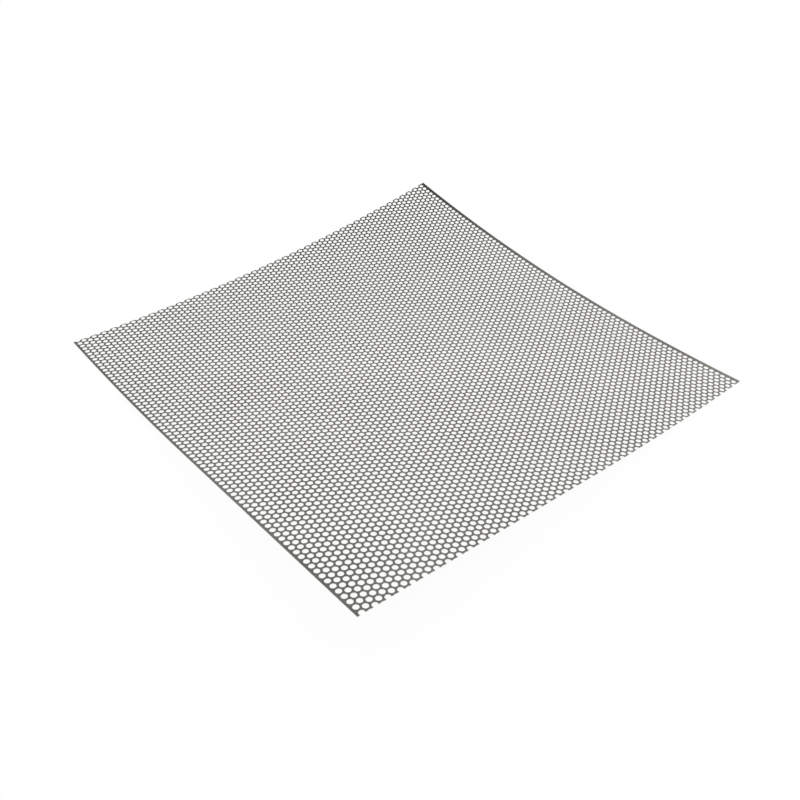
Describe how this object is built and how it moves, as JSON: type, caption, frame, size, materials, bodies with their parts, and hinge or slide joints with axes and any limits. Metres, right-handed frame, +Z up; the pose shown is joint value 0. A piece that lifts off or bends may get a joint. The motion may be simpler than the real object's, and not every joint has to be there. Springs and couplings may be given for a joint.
{
  "type": "perforated metal sheet",
  "caption": "Square of thin perforated steel sheet with round staggered holes, bowed, with two solid margins and two ends sheared through the holes.",
  "frame": {"origin": "underside of the sheet at its middle, where the bow touches the floor", "axes": "+X across the rows of holes from the left solid margin to the right one, +Y along the rows of holes, +Z up, out of the hollow side of the bow"},
  "size_m": [0.4892, 0.49, 0.0577],
  "materials": {
    "sheet": "dull mill finish, punched and left bare"
  },
  "bodies": {
    "root": {"sheet_strip_01": "sheet", "sheet_strip_02": "sheet", "sheet_strip_03": "sheet", "sheet_strip_04": "sheet", "sheet_strip_05": "sheet", "sheet_strip_06": "sheet", "sheet_strip_07": "sheet", "sheet_strip_08": "sheet", "sheet_strip_09": "sheet", "sheet_strip_10": "sheet", "sheet_strip_11": "sheet", "sheet_strip_12": "sheet", "sheet_strip_13": "sheet", "sheet_strip_14": "sheet", "sheet_strip_15": "sheet"}
  },
  "joints": []
}
